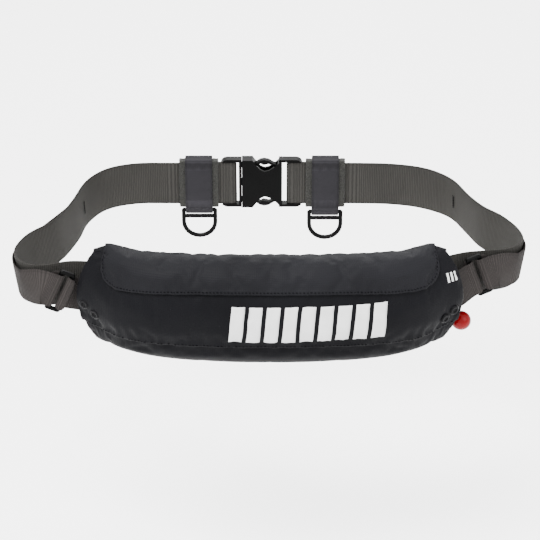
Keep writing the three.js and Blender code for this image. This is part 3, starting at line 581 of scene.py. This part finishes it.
class BELTPACK_OT_pouch(bpy.types.Operator):
    """Makes the stuffed bag and lets its cloth swell between the seams"""

    bl_idname = "belt_pack.pouch"
    bl_label = "Stuffed pouch"

    def execute(self, context):
        bm, row_layer, column_layer = pouch_grid()
        rows = [vert[row_layer] for vert in bm.verts]
        columns = [vert[column_layer] for vert in bm.verts]
        finish = coated_nylon("Coated nylon taffeta", colours().nylon)
        piece = new_piece("stuffed_pouch", bm, "pack", finish, ["pouch_body"])
        stuff_pouch(piece, rows, columns)
        for vert, row, column in zip(piece.data.vertices, rows, columns):
            vert.co = pouch_skin(station(2 * row / LENGTHWISE - 1), 360 * column / AROUND, 0)
        subdivided(piece)
        return {"FINISHED"}


def cloth_wall(name, reach, upper, lower_at, under, finish, replaced, hem):
    """Cloth over the pouch between a lower edge and an upper angle, with a turned hem."""
    bm = bmesh.new()
    across, up = 150, 44
    bmesh.ops.create_grid(bm, x_segments=across, y_segments=up, size=1)
    for vert in bm.verts:
        along = reach * station(vert.co.x) / station(1)
        rise = (vert.co.y + 1) / 2
        low = lower_at(along)
        angle = low + (upper - low) * rise
        from_edge = rise * math.radians(upper - low) * POUCH_HEIGHT / 2
        raised = HEM_RISE if from_edge < hem else 0
        vert.co = pouch_skin(along, angle, under + raised)
    bmesh.ops.recalc_face_normals(bm, faces=bm.faces)
    piece = new_piece(name, bm, "pack", finish, replaced)
    faces = piece.data.polygons
    if faces[0].normal.y + faces[len(faces) // 2].normal.y > 0:
        piece.data.flip_normals()
    wall = piece.modifiers.new("wall", "SOLIDIFY")
    wall.thickness = sizes().cloth
    wall.offset = 1
    return subdivided(piece)


class BELTPACK_OT_panel(bpy.types.Operator):
    """Makes the cloth over the pouch's front and both ends"""

    bl_idname = "belt_pack.panel"
    bl_label = "Front panel"

    def execute(self, context):
        finish = coated_nylon("Coated nylon taffeta, front", colours().nylon)
        cloth_wall("front_cloth", 1.0, PANEL_TOP_ANGLE, lower_seam, PANEL_UNDER, finish,
                   ["front_panel"], PANEL_HEM)
        return {"FINISHED"}


class BELTPACK_OT_flap(bpy.types.Operator):
    """Makes the top flap with its turned and stitched hem"""

    bl_idname = "belt_pack.flap"
    bl_label = "Top flap"

    def execute(self, context):
        # The flap's cloth takes the lighter copy of the nylon: painted light on the face turned to the lamp.
        finish = coated_nylon("Coated nylon taffeta, flap painted lighter", colours().flap)
        cloth_wall("top_flap", FLAP_REACH, FLAP_BACK_ANGLE, flap_edge, FLAP_UNDER, finish,
                   ["pouch_flap"], sizes().hem)
        return {"FINISHED"}


def seam_walk(reach, angle_at, offset, pitch):
    """Evenly spaced places along a seam of the pouch, each with its direction and normal."""
    places = []
    before = None
    travelled = 0
    for step in range(1601):
        along = reach * (step / 800 - 1)
        point = pouch_skin(along, angle_at(along), offset)
        if before is not None:
            travelled += (point - before).length
            if travelled >= pitch:
                places.append((point, (point - before).normalized(), pouch_normal(along, angle_at(along))))
                travelled = 0
        before = point
    return places


def stitch_row(name, places, finish):
    """Lays one bead of thread at each place of a seam."""
    bm = bmesh.new()
    for point, ahead, out in places:
        side = out.cross(ahead).normalized()
        bead = bmesh.ops.create_uvsphere(bm, u_segments=6, v_segments=5, radius=0.5)["verts"]
        for vert in bead:
            shape = vert.co.copy()
            vert.co = (point + ahead * shape.x * sizes().stitch + side * shape.y * THREAD_WIDTH
                       + out * shape.z * THREAD_HEIGHT)
    bmesh.ops.recalc_face_normals(bm, faces=bm.faces)
    return new_piece(name, bm, "pack", finish)


class BELTPACK_OT_stitches(bpy.types.Operator):
    """Makes the two rows of thread, along the flap's hem and along the lower seam"""

    bl_idname = "belt_pack.stitches"
    bl_label = "Stitches"

    def execute(self, context):
        finish = moulded("Bonded nylon thread", colours().thread, 0.8, shine=0)
        pitch = sizes().stitch * STITCH_PITCH

        def hem_row(along):
            return flap_edge(along / HEM_ROW_REACH) + HEM_ROW_ANGLE

        def seam_row(along):
            return lower_seam(along) + SEAM_ROW_ANGLE

        on_hem = FLAP_UNDER + sizes().cloth + THREAD_HEIGHT
        on_seam = PANEL_UNDER + sizes().cloth + HEM_RISE
        hem_places = seam_walk(FLAP_REACH * HEM_ROW_REACH, hem_row, on_hem, pitch)
        stitch_row("flap_stitches", hem_places, finish)
        seam_places = seam_walk(SEAM_ROW_REACH, seam_row, on_seam, pitch)
        stitch_row("seam_stitches", seam_places, finish)
        return {"FINISHED"}


class BELTPACK_OT_marks(bpy.types.Operator):
    """Makes plain slanted reflective bars on the front and beside the right studs"""

    bl_idname = "belt_pack.marks"
    bl_label = "Reflective bars"

    def execute(self, context):
        finish = moulded("Reflective transfer film", colours().mark, 0.6, shine=0.2)
        bm = bmesh.new()
        on_front = PANEL_UNDER + sizes().cloth + FILM_RISE
        for row, number in [(row, number) for row in BAR_ROWS for number in range(row["count"])]:
            start = row["start"] + row["pitch"] * number
            bar = bmesh.ops.create_grid(bm, x_segments=5, y_segments=12, size=0.5)["verts"]
            for vert in bar:
                rise = vert.co.y + 0.5
                along = start + row["width"] * (vert.co.x + 0.5) + row["lean"] * rise
                angle = row["low"] + (row["high"] - row["low"]) * rise
                vert.co = pouch_skin(along, angle, on_front)
        bmesh.ops.recalc_face_normals(bm, faces=bm.faces)
        film = new_piece("reflective_bars", bm, "pack", finish)
        if film.data.polygons[0].normal.y > 0:
            film.data.flip_normals()
        wall = film.modifiers.new("wall", "SOLIDIFY")
        wall.thickness = FILM_THICKNESS
        wall.offset = 1
        return {"FINISHED"}


# Straps follow the frame's own strips, section by section.

BELT_HALF_WIDTH = 25 * MM
STRAP_HALF_WIDTH = 19 * MM
TAPE_HALF_WIDTH = 14.7 * MM
TAPE_RIB = 1.1 * MM
TACK_STITCHES = 15
TACK_SWAY = 0.5 * MM
TACK_HEIGHT = 14 * MM
TACK_OUTER = 1.05 * MM
TACK_INNER = 4.35 * MM


def strap_sections(node):
    """A CAD strap's sections from one end to the other, as centre, half width and half thickness."""
    bm = merged_copy(node, 0.02 * MM)
    bm.verts.index_update()

    def is_sharp(edge):
        return edge.calc_face_angle(0) > 1.0

    ring = None
    for edge in bm.edges:
        if len(edge.link_faces) != 2 or edge.calc_face_angle(3) > 0.02:
            continue
        outer = [e for face in edge.link_faces for e in face.edges if e != edge]
        a, b = edge.verts
        ends = [v for face in edge.link_faces for v in face.verts if v not in (a, b)]
        corners = [a, ends[0], b, ends[1]]
        following = {e.other_vert(v) for v in corners for e in v.link_edges} - set(corners)
        if all(is_sharp(e) for e in outer) and len(following) == 4:
            ring = corners
            break
    if ring is None:
        raise RuntimeError(f"{node} has no flat end to start from")
    rings = [ring]
    seen = set(ring)
    while True:
        following = {e.other_vert(v) for v in ring for e in v.link_edges} - seen
        if len(following) < 4:
            break
        ring = min(permutations(following, 4), key=lambda p: sum((a.co - b.co).length_squared
                                                                for a, b in zip(p, ring)))
        rings.append(list(ring))
        seen.update(ring)
    sections = []
    for a, b, c, d in ([v.co.copy() for v in r] for r in rings):
        first, second = (a + d - b - c) / 4, (a + b - c - d) / 4
        side, out = (first, second) if first.length > second.length else (second, first)
        sections.append([(a + b + c + d) / 4, side, out])
    if len(rings) * 4 != len(bm.verts):
        raise RuntimeError(f"{node} gave {len(rings)} sections for {len(bm.verts)} corners")
    bm.free()
    return sections


STRAP_PROFILE = [
    (-1, 0), (-0.975, 0.7), (-0.93, 1), (-0.5, 1), (0, 1), (0.5, 1), (0.93, 1), (0.975, 0.7),
    (1, 0), (0.975, -0.7), (0.93, -1), (0.5, -1), (0, -1), (-0.5, -1), (-0.93, -1), (-0.975, -0.7),
]


def strap_mesh(sections):
    """Extrudes a strap's rounded profile through its sections, with its run kept as attributes."""
    bm = bmesh.new()
    along = bm.verts.layers.float.new("along")
    across = bm.verts.layers.float.new("across")
    ring = list(bmesh.ops.create_circle(bm, segments=len(STRAP_PROFILE), radius=1)["verts"])
    first = list(ring)
    edges = list(bm.edges)
    travelled = 0
    for index, (centre, side, out) in enumerate(sections):
        if index:
            travelled += (centre - sections[index - 1][0]).length
            made = bmesh.ops.extrude_edge_only(bm, edges=edges)["geom"]
            fresh = {item for item in made if isinstance(item, bmesh.types.BMVert)}
            edges = [item for item in made if isinstance(item, bmesh.types.BMEdge)
                     and item.verts[0] in fresh and item.verts[1] in fresh]
            ring = [next(e.other_vert(v) for e in v.link_edges if e.other_vert(v) in fresh) for v in ring]
        for vert, (sideways, outwards) in zip(ring, STRAP_PROFILE):
            vert.co = centre + side * sideways + out * outwards
            vert[along] = travelled
            vert[across] = sideways * side.length
    bm.faces.new(first)
    bm.faces.new(ring)
    bmesh.ops.recalc_face_normals(bm, faces=bm.faces)
    return bm


def strap_piece(name, node, finish):
    sections = strap_sections(node)
    return subdivided(new_piece(name, strap_mesh(sections), "pack", finish, [node]))


class BELTPACK_OT_belt(bpy.types.Operator):
    """Makes the waist webbing, round both buckle bars and behind the pouch"""

    bl_idname = "belt_pack.belt"
    bl_label = "Waist webbing"

    def execute(self, context):
        finish = ribbed_webbing("Ribbed polyester webbing", colours().webbing, sizes().rib, BELT_HALF_WIDTH)
        strap_piece("waist_webbing", "belt", finish)
        return {"FINISHED"}


class BELTPACK_OT_side_straps(bpy.types.Operator):
    """Makes the narrower webbing of the side straps and the pouch's tabs"""

    bl_idname = "belt_pack.side_straps"
    bl_label = "Side straps and tabs"

    def execute(self, context):
        finish = ribbed_webbing("Narrow polyester webbing", colours().strap, sizes().rib, STRAP_HALF_WIDTH)
        for side in ("left", "right"):
            strap_piece(f"side_webbing_{side}", f"side_strap_{side}", finish)
            strap_piece(f"pouch_tab_webbing_{side}", f"pouch_tab_{side}", finish)
        return {"FINISHED"}


def bar_tack(node, height, strap_half, belt_depth):
    """Places for the dense stitches that join a side strap's far end to the belt, on both faces."""
    sections = strap_sections(node)
    centre, side, out = max((sections[2], sections[-3]), key=lambda section: section[0].y)
    outwards = out.normalized() if out.dot(centre) > 0 else -out.normalized()
    ahead = side.cross(outwards).normalized()
    places = []
    for face, depth in ((outwards, strap_half), (-outwards, belt_depth)):
        for step in range(TACK_STITCHES):
            rise = side.normalized() * height * (step / (TACK_STITCHES - 1) - 0.5)
            sway = ahead * TACK_SWAY * (-1) ** step
            places.append((centre + rise + sway + face * depth, ahead, face))
    return places


class BELTPACK_OT_bar_tacks(bpy.types.Operator):
    """Makes the dense thread bars where the side straps are sewn to the belt"""

    bl_idname = "belt_pack.bar_tacks"
    bl_label = "Bar tacks"

    def execute(self, context):
        finish = moulded("Bonded nylon thread, bar tacks", colours().thread, 0.8, shine=0)
        for side in ("left", "right"):
            places = bar_tack(f"side_strap_{side}", TACK_HEIGHT, TACK_OUTER, TACK_INNER)
            stitch_row(f"bar_tack_{side}", places, finish)
        return {"FINISHED"}


class BELTPACK_OT_ring_tabs(bpy.types.Operator):
    """Makes the flat tape that wraps each keeper and holds its ring"""

    bl_idname = "belt_pack.ring_tabs"
    bl_label = "Ring tapes"

    def execute(self, context):
        finish = ribbed_webbing("Flat polyester tape", colours().tape, TAPE_RIB, TAPE_HALF_WIDTH)
        for side in ("left", "right"):
            strap_piece(f"ring_tape_{side}", f"dring_tab_{side}", finish)
        return {"FINISHED"}


class BELTPACK_OT_keepers(bpy.types.Operator):
    """Makes the pile-faced sleeves round the belt"""

    bl_idname = "belt_pack.keepers"
    bl_label = "Pile keepers"

    def execute(self, context):
        finish = looped_pile("Nylon loop pile", colours().pile)
        for side in ("left", "right"):
            bm = merged_copy(f"keeper_{side}")
            piece = new_piece(f"pile_sleeve_{side}", bm, "pack", finish, [f"keeper_{side}"])
            remesh = piece.modifiers.new("pile", "REMESH")
            remesh.mode = "VOXEL"
            remesh.voxel_size = 0.9 * MM
            even = bpy.data.meshes.new_from_object(
                piece.evaluated_get(bpy.context.evaluated_depsgraph_get()))
            piece.modifiers.remove(remesh)
            for vert in even.vertices:
                tuft = noise.noise(vert.co * 420) + 0.6 * noise.noise(vert.co * 900)
                vert.co += vert.normal * 0.45 * MM * tuft
            for polygon in even.polygons:
                polygon.use_smooth = True
            piece.data = even
            if not even.materials:
                even.materials.append(finish)
        return {"FINISHED"}


def moulded_piece(name, node, body, finish, edge):
    """A moulded copy of a CAD piece whose flats are whole and whose edges are rounded."""
    bm = merged_copy(node)
    bmesh.ops.dissolve_limit(bm, angle_limit=math.radians(1), verts=bm.verts, edges=bm.edges)
    piece = new_piece(name, bm, body, finish, [node])
    softened(piece, edge)
    corners = piece.modifiers.new("shading", "WEIGHTED_NORMAL")
    corners.keep_sharp = True
    return piece


class BELTPACK_OT_buckle(bpy.types.Operator):
    """Makes both halves of the side-release buckle"""

    bl_idname = "belt_pack.buckle"
    bl_label = "Buckle"

    def execute(self, context):
        finish = moulded("Acetal, moulded", colours().acetal, 0.36)
        moulded_piece("buckle_half_plug", "buckle_plug", "pack", finish, 0.9 * MM)
        moulded_piece("buckle_half_socket", "buckle_socket", "pack", finish, 1.1 * MM)
        return {"FINISHED"}


class BELTPACK_OT_hardware(bpy.types.Operator):
    """Makes the adjusters and both hanging rings"""

    bl_idname = "belt_pack.hardware"
    bl_label = "Adjusters and rings"

    def execute(self, context):
        finish = moulded("Acetal, moulded satin", colours().acetal, 0.42)
        for side in ("left", "right"):
            moulded_piece(f"adjuster_loop_{side}", f"adjuster_{side}", "pack", finish, 0.7 * MM)
            moulded_piece(f"hanging_ring_{side}", f"dring_{side}", f"dring_{side}", finish,
                          0.7 * MM)
        return {"FINISHED"}


class BELTPACK_OT_studs(bpy.types.Operator):
    """Makes the press studs on the pouch's ends"""

    bl_idname = "belt_pack.studs"
    bl_label = "Press studs"

    def execute(self, context):
        finish = painted_metal("Painted brass", colours().stud)
        for place in ("left_end", "left_front", "right_end", "right_front"):
            node = f"snap_{place}"
            moulded_piece(f"stud_{place}", node, "pack", finish, 0.35 * MM)
        return {"FINISHED"}


class BELTPACK_OT_ball(bpy.types.Operator):
    """Makes the pull ball on its neck"""

    bl_idname = "belt_pack.ball"
    bl_label = "Pull ball"

    def execute(self, context):
        finish = moulded("Polypropylene, glossy", colours().ball, 0.2, shine=0.1, ior=1.49)
        bm = merged_copy("pull_ball")
        piece = new_piece("red_ball", bm, "pack", finish, ["pull_ball"])
        subdivided(piece, 2)
        return {"FINISHED"}


class BELTPACK_OT_stage(bpy.types.Operator):
    """Makes the floor, the soft lights and the camera"""

    bl_idname = "belt_pack.stage"
    bl_label = "Stage"

    def execute(self, context):
        bm = bmesh.new()
        bmesh.ops.create_grid(bm, x_segments=1, y_segments=1, size=8)
        bmesh.ops.translate(bm, verts=bm.verts, vec=(0, 0, -sizes().floor_drop))
        mesh = bpy.data.meshes.new("floor")
        bm.to_mesh(mesh)
        bm.free()
        mesh.materials.append(pale_floor("Matt white board", colours().floor))
        floor = bpy.data.objects.new("floor", mesh)
        context.scene.collection.objects.link(floor)
        world = bpy.data.worlds.new("pale room")
        world.use_nodes = True
        world.node_tree.nodes["Background"].inputs["Color"].default_value = (1, 1, 1, 1)
        world.node_tree.nodes["Background"].inputs["Strength"].default_value = 2.8
        context.scene.world = world
        for name, place, aim, size, power in (
            ("key", (-0.9, -1.1, 2.4), (0, 0, 0), 1.1, 230),
            ("fill", (1.6, -1.2, 1.4), (0, 0, 0), 1.6, 40),
            ("back", (0.2, 1.8, 1.8), (0, 0, 0), 1.4, 90),
        ):
            lamp = bpy.data.lights.new(name, "AREA")
            lamp.size = size
            lamp.energy = power
            light = bpy.data.objects.new(name, lamp)
            light.location = place
            light.rotation_euler = (Vector(aim) - Vector(place)).to_track_quat("-Z", "Y").to_euler()
            context.scene.collection.objects.link(light)
        lens = bpy.data.cameras.new("camera")
        lens.sensor_width = 36
        lens.lens = 157.6
        lens.shift_y = -8 / 540
        camera = bpy.data.objects.new("camera", lens)
        target = Vector((0, -0.054, 0))
        camera.location = target + Vector((0, -math.cos(math.radians(30)), math.sin(math.radians(30)))) * 2.4
        camera.rotation_euler = (target - camera.location).to_track_quat("-Z", "Y").to_euler()
        context.scene.collection.objects.link(camera)
        context.scene.camera = camera
        return {"FINISHED"}


class BELTPACK_PT_panel(bpy.types.Panel):
    """Lists the belt pack's pieces, sizes and colours"""

    bl_idname = "BELTPACK_PT_panel"
    bl_label = "Belt pack"
    bl_space_type = "VIEW_3D"
    bl_region_type = "UI"
    bl_category = "Belt pack"

    def draw(self, context):
        for operator in OPERATORS:
            self.layout.operator(operator.bl_idname)
        for group in (context.scene.belt_pack_sizes, context.scene.belt_pack_colours):
            column = self.layout.column()
            for name in group.__annotations__:
                column.prop(group, name)


OPERATORS = (
    BELTPACK_OT_stage, BELTPACK_OT_pouch, BELTPACK_OT_panel, BELTPACK_OT_flap, BELTPACK_OT_stitches,
    BELTPACK_OT_marks, BELTPACK_OT_belt, BELTPACK_OT_side_straps, BELTPACK_OT_bar_tacks,
    BELTPACK_OT_ring_tabs, BELTPACK_OT_keepers, BELTPACK_OT_buckle, BELTPACK_OT_hardware,
    BELTPACK_OT_studs, BELTPACK_OT_ball,
)
CLASSES = (BeltPackColours, BeltPackSizes, *OPERATORS, BELTPACK_PT_panel)


def register():
    for made in CLASSES:
        bpy.utils.register_class(made)
    bpy.types.Scene.belt_pack_colours = bpy.props.PointerProperty(type=BeltPackColours)
    bpy.types.Scene.belt_pack_sizes = bpy.props.PointerProperty(type=BeltPackSizes)


def unregister():
    del bpy.types.Scene.belt_pack_sizes
    del bpy.types.Scene.belt_pack_colours
    for made in reversed(CLASSES):
        bpy.utils.unregister_class(made)


def main():
    register()
    bpy.ops.belt_pack.stage()
    bpy.ops.belt_pack.pouch()
    bpy.ops.belt_pack.panel()
    bpy.ops.belt_pack.flap()
    bpy.ops.belt_pack.stitches()
    bpy.ops.belt_pack.marks()
    bpy.ops.belt_pack.belt()
    bpy.ops.belt_pack.side_straps()
    bpy.ops.belt_pack.bar_tacks()
    bpy.ops.belt_pack.ring_tabs()
    bpy.ops.belt_pack.keepers()
    bpy.ops.belt_pack.buckle()
    bpy.ops.belt_pack.hardware()
    bpy.ops.belt_pack.studs()
    bpy.ops.belt_pack.ball()


if __name__ == "__main__":
    main()
